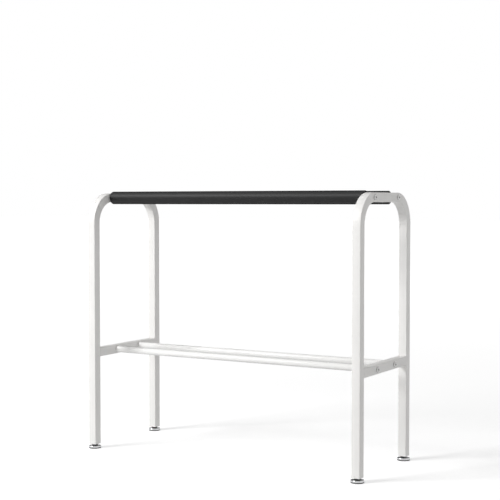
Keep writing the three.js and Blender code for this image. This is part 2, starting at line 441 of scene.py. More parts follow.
class Nodes:
    """A node tree, with a short call for each kind of node that is used more than once."""

    def __init__(self, tree: bpy.types.NodeTree) -> None:
        """Keep the tree.

        Args:
            tree: The tree of a material or a world.
        """
        self.tree = tree

    def feed(self, socket: bpy.types.NodeSocket, value: object) -> None:
        """Link a socket to another one, or set it to a number, vector or colour.

        Args:
            socket: The input.
            value: An output socket or a plain value.
        """
        if isinstance(value, bpy.types.NodeSocket):
            self.tree.links.new(value, socket)
        else:
            socket.default_value = value

    def add(
        self, kind: str, output: str | int, inputs: dict[str | int, object], **settings: object
    ) -> bpy.types.NodeSocket:
        """New node with its inputs fed and its properties set.

        Args:
            kind: Blender's name of the node type.
            output: Name or number of the output that is wanted.
            inputs: Output sockets or plain values, by the name or number of the input.
            **settings: Properties of the node.

        Returns:
            The output.
        """
        node = self.tree.nodes.new(kind)
        for key, value in settings.items():
            setattr(node, key, value)
        for key, value in inputs.items():
            self.feed(node.inputs[key], value)
        return node.outputs[output]

    def span(
        self, source: bpy.types.NodeSocket, given: Range, wanted: tuple[object, object]
    ) -> bpy.types.NodeSocket:
        """Move a range of values to another range, held at its ends.

        Args:
            source: The values.
            given: Lowest and highest value taken.
            wanted: What they become, as numbers or output sockets.

        Returns:
            The new values.
        """
        names = ("Value", "From Min", "From Max", "To Min", "To Max")
        return self.add("ShaderNodeMapRange", "Result", dict(zip(names, (source, *given, *wanted))))

    def larger(
        self, first: bpy.types.NodeSocket, second: bpy.types.NodeSocket
    ) -> bpy.types.NodeSocket:
        """The larger of two values."""
        return self.add("ShaderNodeMath", 0, {0: first, 1: second}, operation="MAXIMUM")

    def background_ray(self) -> bpy.types.NodeSocket:
        """Tell the rays that show the background: seen, mirrored or through glass.

        Returns:
            One for such a ray and zero for others.
        """
        ray = self.tree.nodes.new("ShaderNodeLightPath").outputs
        mirrored = self.larger(ray["Is Camera Ray"], ray["Is Glossy Ray"])
        return self.larger(mirrored, ray["Is Transmission Ray"])


class Recipe(Nodes):
    """Node tree of one material, with a short call for each step that finishes share."""

    def __init__(self, name: str) -> None:
        """Start a material on the piece's own coordinates.

        Args:
            name: Name of the material.
        """
        self.material = bpy.data.materials.new(name)
        self.material.use_nodes = True
        super().__init__(self.material.node_tree)
        self.shader = self.tree.nodes["Principled BSDF"]
        self.coordinates = self.add("ShaderNodeTexCoord", "Object", {})

    def set(self, **inputs: object) -> None:
        """Set inputs of the shader, with spaces in their names written as underscores.

        Args:
            **inputs: Values or output sockets.
        """
        for name, value in inputs.items():
            self.feed(self.shader.inputs[name.replace("_", " ")], value)

    def noise(self, pattern: Pattern, grain: Grain | None = None) -> bpy.types.NodeSocket:
        """Noise on the piece's own coordinates.

        Args:
            pattern: Its size and layers.
            grain: Direction in which it is drawn out, or None where it has none.

        Returns:
            The noise, around one half.
        """
        place = self.coordinates
        if grain:
            place = self.add("ShaderNodeMapping", "Vector", {"Vector": place, "Scale": grain.value})
        inputs = {
            "Vector": place,
            "Scale": 1 / pattern.size,
            "Detail": pattern.layers,
            "Roughness": pattern.fineness,
        }
        return self.add("ShaderNodeTexNoise", "Fac", inputs)

    def cells(self, size: float) -> bpy.types.NodeSocket:
        """Distance to the nearest of many scattered points.

        Args:
            size: Distance between points, in metres.

        Returns:
            The distance, as a share of the size.
        """
        inputs = {"Vector": self.coordinates, "Scale": 1 / size}
        return self.add("ShaderNodeTexVoronoi", "Distance", inputs)

    def facing(self) -> bpy.types.NodeSocket:
        """How far the surface turns away at its rim, from 0 to 1, for its gloss."""
        return self.add("ShaderNodeLayerWeight", "Facing", {})

    def blended(
        self, share: bpy.types.NodeSocket, first: object, second: object
    ) -> bpy.types.NodeSocket:
        """Mix of two colours.

        Args:
            share: How much of the second colour.
            first: First colour, or an output socket.
            second: Second colour, or an output socket.

        Returns:
            The mixed colour.
        """
        node = self.tree.nodes.new("ShaderNodeMix")
        node.data_type = "RGBA"
        colours = [item for item in node.inputs if item.type == "RGBA"]
        for socket, value in zip((node.inputs["Factor"], *colours), (share, first, second)):
            self.feed(socket, value)
        return next(item for item in node.outputs if item.type == "RGBA")

    def shaded(
        self, source: bpy.types.NodeSocket, given: Range, colour: Colour, shades: Range
    ) -> bpy.types.NodeSocket:
        """A colour that goes from one share of itself to another as a pattern rises.

        Args:
            source: The pattern.
            given: Values of the pattern between which it changes.
            colour: The colour.
            shades: Shares of it below them and above them.

        Returns:
            The changing colour.
        """
        low, high = (tinted(colour, shade) for shade in shades)
        return self.blended(self.span(source, given, FULL_RANGE), low, high)

    def bump(
        self,
        height: bpy.types.NodeSocket,
        relief: Relief,
        under: bpy.types.NodeSocket | None = None,
    ) -> bpy.types.NodeSocket:
        """Relief of a height pattern.

        Args:
            height: The pattern, from 0 to 1.
            relief: How far it stands out.
            under: Relief that this one lies on.

        Returns:
            The normal.
        """
        inputs = {"Height": height, "Distance": relief.depth, "Strength": relief.share}
        if under is not None:
            inputs["Normal"] = under
        return self.add("ShaderNodeBump", "Normal", inputs)


def tinted(colour: Colour, share: float) -> Rgba:
    """A colour, lighter or darker by a share of itself, with full alpha."""
    return (colour[0] * share, colour[1] * share, colour[2] * share, 1.0)


@dataclass(frozen=True)
class Finish:
    """A finish, with the name of the slot that it fills in the frame."""

    slot: str

    @property
    def label(self) -> str:
        """Name of the material."""
        return self.slot

    def material(self) -> bpy.types.Material:
        """Make the finish.

        Returns:
            The material.
        """
        recipe = Recipe(self.label)
        self.mix(recipe)
        return recipe.material

    def mix(self, recipe: Recipe) -> None:
        """Set the shader's inputs.

        Args:
            recipe: The recipe of the new material.
        """
        raise NotImplementedError


@dataclass(frozen=True)
class PowderCoat(Finish):
    """Satin white powder coat, with the low orange peel of a baked skin."""

    slot: str = "powder_coat"
    colour: Colour = (0.862, 0.853, 0.836)
    cloud: Pattern = Pattern(60 * MM, 3.0)
    cloud_shades: Range = (0.965, 1.0)
    patch: Pattern = Pattern(15.2 * MM, 3.0)
    roughness: Range = (0.34, 0.46)
    peel: Pattern = Pattern(1.9 * MM, 1.5)
    peel_relief: Relief = Relief(0.035 * MM, 0.6)
    speck: Pattern = Pattern(0.35 * MM, 1.0)
    speck_relief: Relief = Relief(0.006 * MM, 0.5)
    dust_reach: Range = (0.62, 0.75)
    dust_share: float = 0.25
    dust_shade: float = 0.86

    def mix(self, recipe: Recipe) -> None:
        """Set the shader's inputs.

        Args:
            recipe: The recipe of the new material.
        """
        specks = recipe.noise(self.speck)
        clouds = recipe.noise(self.cloud)
        skin = recipe.shaded(clouds, NOISE_RANGE, self.colour, self.cloud_shades)
        dust = recipe.span(specks, self.dust_reach, (0.0, self.dust_share))
        peel = recipe.bump(recipe.noise(self.peel), self.peel_relief)
        recipe.set(
            Base_Color=recipe.blended(dust, skin, tinted(self.colour, self.dust_shade)),
            Roughness=recipe.span(recipe.noise(self.patch), NOISE_RANGE, self.roughness),
            Normal=recipe.bump(specks, self.speck_relief, peel),
        )


@dataclass(frozen=True)
class GlossEnamel(Finish):
    """Glossy white enamel of the lower rails, with faint rub marks."""

    slot: str = "gloss_enamel"
    colour: Colour = (0.885, 0.88, 0.868)
    rub: Pattern = Pattern(14 * MM, 4.0, 0.6)
    rub_reach: Range = (0.55, 0.8)
    rub_shades: Range = (1.0, 0.95)
    dull_reach: Range = (0.35, 0.7)
    roughness: Range = (0.16, 0.28)
    gloss: float = 0.4
    peel: Pattern = Pattern(5 * MM, 1.0)
    peel_relief: Relief = Relief(0.03 * MM, 0.5)

    def mix(self, recipe: Recipe) -> None:
        """Set the shader's inputs.

        Args:
            recipe: The recipe of the new material.
        """
        rubs = recipe.noise(self.rub, Grain.round_x)
        recipe.set(
            Base_Color=recipe.shaded(rubs, self.rub_reach, self.colour, self.rub_shades),
            Roughness=recipe.span(rubs, self.dull_reach, self.roughness),
            Specular_IOR_Level=self.gloss,
            Normal=recipe.bump(recipe.noise(self.peel), self.peel_relief),
        )


@dataclass(frozen=True)
class FoamRubber(Finish):
    """Charcoal closed-cell foam with a fine skin of pores, whose hollows are painted darker as
    painted shade.
    """

    slot: str = "foam_rubber"
    colour: Colour = (0.012, 0.0122, 0.0125)
    pore: float = 0.75 * MM
    pore_reach: Range = (0.12, 0.55)
    # Share of the colour in the pore hollows: painted shade
    pore_painted_shade: float = 0.62
    pore_relief: Relief = Relief(0.16 * MM, 0.3)
    grit: Pattern = Pattern(0.28 * MM, 3.0, 0.6)
    grit_relief: Relief = Relief(0.05 * MM, 0.4)
    wave: Pattern = Pattern(22 * MM, 3.0)
    wave_shades: Range = (0.9, 1.12)
    roughness: Range = (0.42, 0.58)
    edge_roughness: float = 0.95
    edge_reach: Range = (0.2, 0.6)
    gloss: float = 0.25

    def mix(self, recipe: Recipe) -> None:
        """Set the shader's inputs.

        Args:
            recipe: The recipe of the new material.
        """
        pores = recipe.span(recipe.cells(self.pore), self.pore_reach, FULL_RANGE)
        grit = recipe.noise(self.grit)
        skin = recipe.shaded(recipe.noise(self.wave), NOISE_RANGE, self.colour, self.wave_shades)
        edge = recipe.span(recipe.facing(), self.edge_reach, (0.0, self.edge_roughness))
        pitted = recipe.bump(pores, self.pore_relief)
        recipe.set(
            # The pore hollows take a darker copy of the colour: painted shade in the pores
            Base_Color=recipe.blended(pores, tinted(self.colour, self.pore_painted_shade), skin),
            Roughness=recipe.larger(recipe.span(grit, NOISE_RANGE, self.roughness), edge),
            Specular_IOR_Level=self.gloss,
            Normal=recipe.bump(grit, self.grit_relief, pitted),
        )


@dataclass(frozen=True)
class BareSteel(Finish):
    """Drawn or turned steel with fine marks along its grain and a little tarnish."""

    slot: str = "bare_steel"
    grain: Grain = Grain.along_x
    colour: Colour = (0.46, 0.455, 0.45)
    mark: Pattern = Pattern(0.35 * MM, 2.0, 0.6)
    mark_relief: Relief = Relief(0.02 * MM, 0.35)
    tarnish: Pattern = Pattern(9 * MM, 4.0, 0.6)
    tarnish_reach: Range = (0.45, 0.75)
    tarnish_shades: Range = (1.0, 0.72)
    roughness: Range = (0.28, 0.5)

    @property
    def label(self) -> str:
        """Name of the material."""
        return f"{self.slot}_{self.grain.name}"

    def mix(self, recipe: Recipe) -> None:
        """Set the shader's inputs.

        Args:
            recipe: The recipe of the new material.
        """
        marks = recipe.noise(self.mark, self.grain)
        stains = recipe.noise(self.tarnish)
        recipe.set(
            Base_Color=recipe.shaded(stains, self.tarnish_reach, self.colour, self.tarnish_shades),
            Metallic=1.0,
            Roughness=recipe.span(marks, NOISE_RANGE, self.roughness),
            Normal=recipe.bump(marks, self.mark_relief),
        )


@dataclass(frozen=True)
class BoltSteel(Finish):
    """Bright plated steel of the bolts, slightly milky."""

    slot: str = "bolt_steel"
    colour: Colour = (0.49, 0.49, 0.485)
    cloud: Pattern = Pattern(1.6 * MM, 4.0, 0.6)
    cloud_reach: Range = (0.4, 0.7)
    cloud_shades: Range = (1.0, 0.85)
    grit: Pattern = Pattern(0.2 * MM)
    grit_relief: Relief = Relief(0.006 * MM, 0.4)
    roughness: Range = (0.16, 0.3)

    def mix(self, recipe: Recipe) -> None:
        """Set the shader's inputs.

        Args:
            recipe: The recipe of the new material.
        """
        clouds = recipe.noise(self.cloud)
        recipe.set(
            Base_Color=recipe.shaded(clouds, self.cloud_reach, self.colour, self.cloud_shades),
            Metallic=1.0,
            Roughness=recipe.span(clouds, NOISE_RANGE, self.roughness),
            Normal=recipe.bump(recipe.noise(self.grit), self.grit_relief),
        )


@dataclass(frozen=True)
class WhitePlastic(Finish):
    """Moulded white plastic with a spark-eroded grain."""

    slot: str = "white_plastic"
    colour: Colour = (0.83, 0.825, 0.81)
    grain: Pattern = Pattern(0.3 * MM)
    grain_relief: Relief = Relief(0.02 * MM, 0.4)
    flow: Pattern = Pattern(12 * MM)
    flow_reach: Range = (0.35, 0.65)
    flow_shades: Range = (0.96, 1.0)
    glow: float = 0.04
    glow_depth: float = 1 * MM
    roughness: Range = (0.42, 0.58)

    def mix(self, recipe: Recipe) -> None:
        """Set the shader's inputs.

        Args:
            recipe: The recipe of the new material.
        """
        grain = recipe.noise(self.grain)
        flow = recipe.noise(self.flow)
        recipe.set(
            Base_Color=recipe.shaded(flow, self.flow_reach, self.colour, self.flow_shades),
            Roughness=recipe.span(grain, NOISE_RANGE, self.roughness),
            Subsurface_Weight=self.glow,
            Subsurface_Scale=self.glow_depth,
            Normal=recipe.bump(grain, self.grain_relief),
        )


@dataclass(frozen=True)
class Chrome(Finish):
    """Polished chrome with faint polishing marks and a smudge or two."""

    slot: str = "chrome"
    colour: Colour = (0.62, 0.625, 0.635)
    smudge: Pattern = Pattern(6 * MM, 5.0, 0.6)
    smudge_reach: Range = (0.5, 0.8)
    smudge_shades: Range = (1.0, 0.93)
    dull_reach: Range = (0.35, 0.75)
    roughness: Range = (0.04, 0.13)
    mark: Pattern = Pattern(0.12 * MM, 1.0)
    mark_relief: Relief = Relief(0.004 * MM, 0.3)

    def mix(self, recipe: Recipe) -> None:
        """Set the shader's inputs.

        Args:
            recipe: The recipe of the new material.
        """
        smudges = recipe.noise(self.smudge)
        marks = recipe.noise(self.mark, Grain.round_z)
        recipe.set(
            Base_Color=recipe.shaded(smudges, self.smudge_reach, self.colour, self.smudge_shades),
            Metallic=1.0,
            Roughness=recipe.span(smudges, self.dull_reach, self.roughness),
            Normal=recipe.bump(marks, self.mark_relief),
        )


@dataclass(frozen=True)
class DarkPlastic(Finish):
    """Black moulded plastic of the pads, dusty where it has stood on a floor."""

    slot: str = "dark_plastic"
    colour: Colour = (0.02, 0.02, 0.021)
    grain: Pattern = Pattern(0.4 * MM)
    grain_relief: Relief = Relief(0.03 * MM, 0.4)
    dust: Pattern = Pattern(5 * MM, 4.0, 0.6)
    dust_reach: Range = (0.5, 0.8)
    dust_share: float = 0.35
    dust_shades: Range = (1.0, 4.0)
    roughness: Range = (0.5, 0.7)

    def mix(self, recipe: Recipe) -> None:
        """Set the shader's inputs.

        Args:
            recipe: The recipe of the new material.
        """
        grain = recipe.noise(self.grain)
        dust = recipe.span(recipe.noise(self.dust), self.dust_reach, (0.0, self.dust_share))
        clean, dusty = (tinted(self.colour, shade) for shade in self.dust_shades)
        recipe.set(
            Base_Color=recipe.blended(dust, clean, dusty),
            Roughness=recipe.span(grain, NOISE_RANGE, self.roughness),
            Normal=recipe.bump(grain, self.grain_relief),
        )


class Finishes:
    """Every finish of the stand, made once."""

    def __init__(self) -> None:
        """Name the finishes; a material is made when a piece first needs it."""
        self.powder_coat = PowderCoat()
        self.gloss_enamel = GlossEnamel()
        self.foam_rubber = FoamRubber()
        self.steel_along_x = BareSteel()
        self.steel_round_z = BareSteel(grain=Grain.round_z)
        # The stems' steel is near black: a dark steel colour, and painted shade for the gap under
        # each leg's end
        self.black_steel = BareSteel("black_steel", Grain.round_z, (0.07, 0.07, 0.072))
        self.bolt_steel = BoltSteel()
        self.white_plastic = WhitePlastic()
        self.chrome = Chrome()
        self.dark_plastic = DarkPlastic()
        self._made: dict[Finish, bpy.types.Material] = {}

    def put_on(self, obj: bpy.types.Object, finish: Finish) -> None:
        """Give a piece one finish all over.

        Args:
            obj: The piece.
            finish: One of the finishes.
        """
        if finish not in self._made:
            self._made[finish] = finish.material()
        obj.data.materials.clear()
        obj.data.materials.append(self._made[finish])


@dataclass
class SubAssembly:
    """A group of pieces that are built and dressed together."""

    finishes: Finishes

    def fit(
        self, obj: bpy.types.Object, finish: Finish, body: str, *nodes: str
    ) -> bpy.types.Object:
        """Finish a new piece, set it on its body and let it stand for nodes of the frame.

        Args:
            obj: The piece, with its place in its mesh.
            finish: One of the finishes.
            body: The body that it rides on.
            *nodes: The nodes that it replaces.

        Returns:
            The piece.
        """
        smooth(obj)
        self.finishes.put_on(obj, finish)
        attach(obj, body)
        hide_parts(*nodes)
        log.info("%s: %d faces, on %s", obj.name, len(obj.data.polygons), body)
        return obj


# Sub-assemblies


@dataclass(frozen=True)
class TubeSection:
    """Section of the rectangular tube of the hoops and cross rails."""

    across: float
    in_plane: float
    wall: float = 1.2 * MM
    corner: float = 1.5 * MM
    corner_faces: int = 5

    @property
    def flat(self) -> float:
        """Width of the flat between the corners, across the tube."""
        return self.across - 2 * self.corner

    def loop(self, name: str, turn: Matrix) -> bpy.types.Object:
        """Outline of the section round the origin, to be drawn out into a tube.

        Args:
            name: Name of the new object.
            turn: How it stands; flat in the plane z = 0 unless turned.

        Returns:
            The new object, a loop of edges.
        """
        obj = primitive(bpy.ops.mesh.primitive_plane_add, name, size=1)
        with Bench(obj):
            bpy.ops.transform.resize(value=(self.across, self.in_plane, 1))
            bpy.ops.mesh.bevel(offset=self.corner, segments=self.corner_faces, affect="VERTICES")
            bpy.ops.mesh.delete(type="ONLY_FACE")
        obj.data.transform(turn)
        return obj

    def hollow(self, obj: bpy.types.Object) -> None:
        """Give a drawn-out outline its wall.

        Args:
            obj: The open skin of the tube.
        """
        with Bench(obj) as bench:
            bench.close()
        wall = obj.modifiers.new("wall", "SOLIDIFY")
        wall.thickness = self.wall
        # Inwards from the skin
        wall.offset = -1.0
        wall.use_even_offset = True
        apply_modifiers(obj)


@dataclass
class EndFrame(SubAssembly):
    """One bent hoop with the cross rail welded between its legs."""

    end: End
    bend_radius: float = 58 * MM
    bend_steps: int = 36
    hole_diameter: float = 6.6 * MM
    hole_faces: int = 32
    bead_radius: float = 1.7 * MM
    bead_pitch: float = 1.5 * MM
    bead_rings: int = 10
    bead_voxel: float = 0.28 * MM
    bead_evening: float = 0.5
    bead_rounds: int = 3
    seam: float = 0.7 * MM
    seam_depth: float = 2.6 * MM

    def __post_init__(self) -> None:
        """Take the places from the frame."""
        self.hoop_place = Place.of(f"{self.end.name}_hoop")
        self.rail_place = Place.of(f"{self.end.name}_cross_rail")
        self.section = TubeSection(self.hoop_place.size.x, self.rail_place.size.z)
        self.leg_y = (self.hoop_place.size.y - self.section.in_plane) / 2
        self.bend_y = self.leg_y - self.bend_radius
        self.bend_z = self.hoop_place.high.z - self.section.in_plane / 2 - self.bend_radius

    def build(self) -> None:
        """Build both pieces."""
        white = self.finishes.powder_coat
        self.fit(self.hoop(), white, "frame", f"{self.end.name}_hoop")
        self.fit(self.cross_rail(), white, "frame", f"{self.end.name}_cross_rail")

    def drill(self, obj: bpy.types.Object, node: str) -> None:
        """Drill the front and rear holes for a pair of bolts.

        Args:
            obj: The tube.
            node: What the bolts' nodes have in their names, bar or rail.
        """
        for row in Row:
            middle = Place.of(f"{row.name}_{node}_bolt_{self.end.name}").middle
            tool = primitive(
                bpy.ops.mesh.primitive_cylinder_add,
                "drill",
                vertices=self.hole_faces,
                radius=self.hole_diameter / 2,
                depth=2 * self.section.across,
                location=(self.hoop_place.middle.x, middle.y, middle.z),
                rotation=(0, QUARTER_TURN, 0),
            )
            combine(obj, tool, Join.cut)

    def hoop(self) -> bpy.types.Object:
        """Hoop: the outline drawn up one leg, round the bends and down the other leg.

        Returns:
            The hoop.
        """
        x = self.hoop_place.middle.x
        bottom = self.hoop_place.low.z
        start = Matrix.Translation((x, -self.leg_y, bottom))
        obj = self.section.loop(f"{self.end.name}_hoop_tube", start)
        leg, top = (0, 0, self.bend_z - bottom), (0, 2 * self.bend_y, 0)
        with Bench(obj):
            for side, straight in ((-1, leg), (1, top)):
                bpy.ops.mesh.extrude_edges_move(TRANSFORM_OT_translate={"value": straight})
                bpy.ops.mesh.spin(
                    steps=self.bend_steps,
                    angle=QUARTER_TURN,
                    center=(x, side * self.bend_y, self.bend_z),
                    axis=(1, 0, 0),
                )
            down = (0, 0, bottom - self.bend_z)
            bpy.ops.mesh.extrude_edges_move(TRANSFORM_OT_translate={"value": down})
        self.section.hollow(obj)
        self.drill(obj, "bar")
        return obj

    def cross_rail(self) -> bpy.types.Object:
        """Cross rail: a straight tube with its weld beads.

        Returns:
            The cross rail.
        """
        place = self.rail_place
        start = Vector((place.middle.x, place.low.y, place.middle.z))
        turn = Matrix.Translation(start) @ Matrix.Rotation(QUARTER_TURN, 4, "X")
        obj = self.section.loop(f"{self.end.name}_cross_rail_tube", turn)
        with Bench(obj):
            bpy.ops.mesh.extrude_edges_move(TRANSFORM_OT_translate={"value": (0, place.size.y, 0)})
        self.section.hollow(obj)
        self.drill(obj, "rail")
        bead = self.weld_bead()
        beads = []
        for side, y in ((1, place.low.y), (-1, place.high.y)):
            self.open_seam(obj, y + side * self.seam / 2)
            spot = Matrix.Translation((place.middle.x, y, place.low.z))
            beads.append(copy_of(bead, "bead", spot))
        bpy.data.objects.remove(bead)
        return joined([obj, *beads])

    def open_seam(self, obj: bpy.types.Object, y: float) -> None:
        """Cut the slit that the welder left open across the rail's top.

        Args:
            obj: The cross rail.
            y: Middle of the slit.
        """
        spot = (self.rail_place.middle.x, y, self.rail_place.high.z)
        tool = primitive(bpy.ops.mesh.primitive_cube_add, "slit", size=1, location=spot)
        tool.scale = (self.section.flat, self.seam, 2 * self.seam_depth)
        bpy.ops.object.transform_apply()
        combine(obj, tool, Join.cut)

    def weld_bead(self) -> bpy.types.Object:
        """One weld bead along X: a row of overlapping drops, melted into one.

        Returns:
            The bead, centred on the origin.
        """
        count = round(self.section.flat / self.bead_pitch)
        drops = [
            primitive(
                bpy.ops.mesh.primitive_uv_sphere_add,
                "drop",
                segments=2 * self.bead_rings,
                ring_count=self.bead_rings,
                radius=self.bead_radius,
                location=((i - (count - 1) / 2) * self.bead_pitch, 0, 0),
            )
            for i in range(count)
        ]
        bead = joined(drops)
        bpy.ops.object.transform_apply()
        melt = bead.modifiers.new("melt", "REMESH")
        melt.mode = "VOXEL"
        melt.voxel_size = self.bead_voxel
        even = bead.modifiers.new("even", "SMOOTH")
        even.factor = self.bead_evening
        even.iterations = self.bead_rounds
        apply_modifiers(bead)
        return bead


@dataclass
class PaddedBar(SubAssembly):
    """Foam sleeve of one top bar; its steel tube stays as the frame has it."""

    row: Row
    edge_radius: float = 1.8 * MM
    edge_faces: int = 6
    shortness: float = 0.2 * MM
    wall: float = 4.7 * MM
    steps: int = 72
    length_cuts: int = 150
    wave_size: float = 24 * MM
    wave_height: float = 0.05 * MM
    sag: float = 0.28 * MM

    def __post_init__(self) -> None:
        """Take the place from the frame."""
        self.place = Place.of(f"{self.row.name}_bar_sleeve")

    def build(self) -> None:
        """Build the sleeve and dress the tube inside it."""
        bar = f"{self.row.name}_bar"
        sleeve = self.fit(self.sleeve(), self.finishes.foam_rubber, "frame", f"{bar}_sleeve")
        self.finishes.put_on(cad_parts[f"{bar}_tube"], self.finishes.steel_along_x)

    def sleeve(self) -> bpy.types.Object:
        """Sleeve: the section of the foam wall, turned round the bar, with rounded ends.

        Returns:
            The sleeve.
        """
        outer, half = self.place.size.z / 2, self.place.size.x / 2 - self.shortness
        inner, edge, flat = outer - self.wall, self.edge_radius, half - self.edge_radius
        cuts = (2 * i / self.length_cuts - 1 for i in range(1, self.length_cuts))
        profile = [
            (inner, -half),
            *arc((outer - edge, -flat), edge, -90, 0, self.edge_faces),
            *((outer, flat * cut) for cut in cuts),
            *arc((outer - edge, flat), edge, 0, 90, self.edge_faces),
            (inner, half),
            (inner, -half),
        ]
        obj = turned(f"{self.row.name}_foam_sleeve", profile, self.steps)
        lay_along_x(obj, self.place.middle)
        self.settle(obj)
        return obj

    def settle(self, obj: bpy.types.Object) -> None:
        """Give the foam the slight unevenness of a slipped-on sleeve.

        Args:
            obj: The sleeve.
        """
        texture = bpy.data.textures.new(f"{obj.name}_waves", "CLOUDS")
        texture.noise_scale = self.wave_size
        texture.noise_depth = 1
        waves = obj.modifiers.new("waves", "DISPLACE")
        waves.texture = texture
        waves.strength = self.wave_height
        # Inwards only, so that the foam stays within its size
        waves.mid_level = 1.0
        apply_modifiers(obj)
        obj.data.transform(Matrix.Translation((0, 0, -self.sag)))


@dataclass
class LowerRail(SubAssembly):
    """One round lower rail between the cross rails."""

    row: Row
    wall: float = 1.2 * MM
    sides: int = 72
    edge: float = 0.45 * MM
    edge_faces: int = 3

    def __post_init__(self) -> None:
        """Take the place from the frame."""
        self.place = Place.of(f"{self.row.name}_rail")

    def build(self) -> None:
        """Build the rail."""
        self.fit(self.rail(), self.finishes.gloss_enamel, "frame", f"{self.row.name}_rail")

    def rail(self) -> bpy.types.Object:
        """Rail: a thin-walled tube with its ends deburred.

        Returns:
            The rail.
        """
        outer, half = self.place.size.z / 2, self.place.size.x / 2
        inner = outer - self.wall
        section = [(inner, -half), (outer, -half), (outer, half), (inner, half), (inner, -half)]
        obj = turned(f"{self.row.name}_lower_rail", section, self.sides)
        soften_edges(obj, self.edge, self.edge_faces)
        lay_along_x(obj, self.place.middle)
        return obj


@dataclass
class Bolts(SubAssembly):
    """The eight socket bolts, modelled once along Z and set through the tubes.

    The lead is the mouth of the socket, wider than its flats by its share of them, and the
    drill leaves the point below the socket's floor.
    """

    edge: float = 0.8 * MM
    crown: float = 2.4 * MM
    flat_share: float = 0.35
    dome_faces: int = 14
    sides: int = 64
    shank_diameter: float = 6 * MM
    pitch: float = 1.0 * MM
    plain_length: float = 12 * MM
    tip: float = 0.8 * MM
    socket_across: float = 4 * MM
    socket_depth: float = 2 * MM
    drill_depth: float = 0.7 * MM
    lead_share: float = 1.3
    lead_floor_share: float = 0.6
    drill_share: float = 0.9
    thread_root_share: float = 0.7
    overrun: float = 1 * MM

    def build(self) -> None:
        """Build the master and set its copies."""
        place = Place.of("front_bar_bolt_right")
        master = self.master(place.size.x, place.size.z / 2)
        for end in End:
            hoop = Place.of(f"{end.name}_hoop")
            face = hoop.high.x if end is End.right else hoop.low.x
            turn = Matrix.Rotation(end.value * QUARTER_TURN, 4, "Y")
            for row, carried in product(Row, ("bar", "rail")):
                node = f"{row.name}_{carried}_bolt_{end.name}"
                middle = Place.of(node).middle
                spot = Matrix.Translation((face, middle.y, middle.z))
                name = f"{row.name}_{carried}_socket_bolt_{end.name}"
                bolt = copy_of(master, name, spot @ turn)
                self.fit(bolt, self.finishes.bolt_steel, "frame", node)
        bpy.data.objects.remove(master)
        for node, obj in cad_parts.items():
            if "_plug_" in node:
                self.finishes.put_on(obj, self.finishes.steel_along_x)

    def master(self, length: float, head_radius: float) -> bpy.types.Object:
        """Bolt along Z, whose head stands on z = 0.

        Args:
            length: Overall length, head and shank.
            head_radius: Radius of the head.

        Returns:
            The bolt.
        """
        head_top = self.edge + self.crown
        end = head_top - length
        shank = self.shank_diameter / 2
        flat = head_radius * self.flat_share
        dome = []
        for i in range(self.dome_faces + 1):
            angle = QUARTER_TURN * i / self.dome_faces
            radius = flat + (head_radius - flat) * math.cos(angle)
            dome.append((radius, self.edge + self.crown * math.sin(angle)))
        root, low, past = self.thread_root_share * shank, -self.plain_length, self.overrun
        under = [(0, low - past), (root, low - past), (shank, low), (shank, 0), (head_radius, 0)]
        bolt = turned("bolt_master", [*under, *dome, (0, head_top)], self.sides)
        combine(bolt, self.socket(head_top), Join.cut)
        rod = Thread(self.shank_diameter, self.pitch).rod("bolt_thread", end - past, low)
        wide = shank + self.tip
        profile = [(0, end), (shank - self.tip, end), (wide, end + 2 * self.tip), (wide, 0), (0, 0)]
        combine(rod, turned("bolt_blank", profile, self.sides), Join.meet)
        combine(bolt, rod, Join.add)
        return bolt

    def socket(self, head_top: float) -> bpy.types.Object:
        """Tool that cuts the hexagon socket with its drilled point.

        Args:
            head_top: Height of the head's top.

        Returns:
            The tool.
        """
        floor = head_top - self.socket_depth
        tool = hexagon("socket", self.socket_across, floor, head_top + self.socket_depth)
        drill, past = self.drill_share * self.socket_across / 2, self.overrun / 2
        point, top = floor - self.drill_depth, floor + past
        profile = [(0, point), (drill, floor), (drill, top), (0, top)]
        combine(tool, turned("point", profile, self.sides), Join.add)
        mouth, above = self.lead_share * self.socket_across / 2, head_top + past / 2
        inner = mouth * self.lead_floor_share
        profile = [(0, head_top - 2 * past), (inner, head_top - past), (mouth, above), (0, above)]
        combine(tool, turned("lead", profile, self.sides), Join.add)
        return tool


